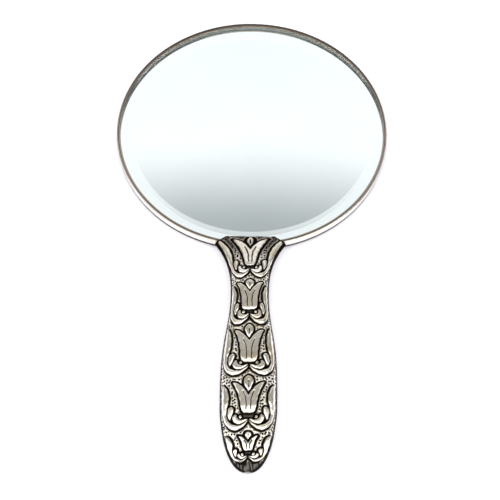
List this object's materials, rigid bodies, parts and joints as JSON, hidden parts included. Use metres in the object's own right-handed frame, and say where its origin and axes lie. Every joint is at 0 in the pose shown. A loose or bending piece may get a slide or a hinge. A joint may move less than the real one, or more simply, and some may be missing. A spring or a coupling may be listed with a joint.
{
  "type": "hand mirror",
  "caption": "Round bevelled hand mirror with a silver-plated frame and an embossed handle of two shells over a cast core.",
  "frame": {"origin": "middle of the back's plain oval cartouche, on the plane on which the mirror rests face up", "axes": "+Z out of the mirror's face, +Y away from the handle along the mirror's length, +X across the head"},
  "size_m": [0.1288, 0.2358, 0.0135],
  "materials": {
    "silver_plate": "polished",
    "clear_glass": "polished",
    "mirror_silvering": "polished",
    "grey_card": "matte",
    "cast_pitch": "satin",
    "bare_steel": "satin",
    "brass_rivet": "satin"
  },
  "bodies": {
    "root": {"back_cartouche": "silver_plate", "back_plate": "silver_plate", "bezel_ring": "silver_plate", "foot_ring": "silver_plate", "handle_back_shell": "silver_plate", "handle_core": "cast_pitch", "handle_front_shell": "silver_plate", "mirror_coating": "mirror_silvering", "mirror_glass": "clear_glass", "packing_card": "grey_card", "rim_band": "silver_plate", "tang": "bare_steel", "tang_rivets": "brass_rivet"}
  },
  "joints": []
}
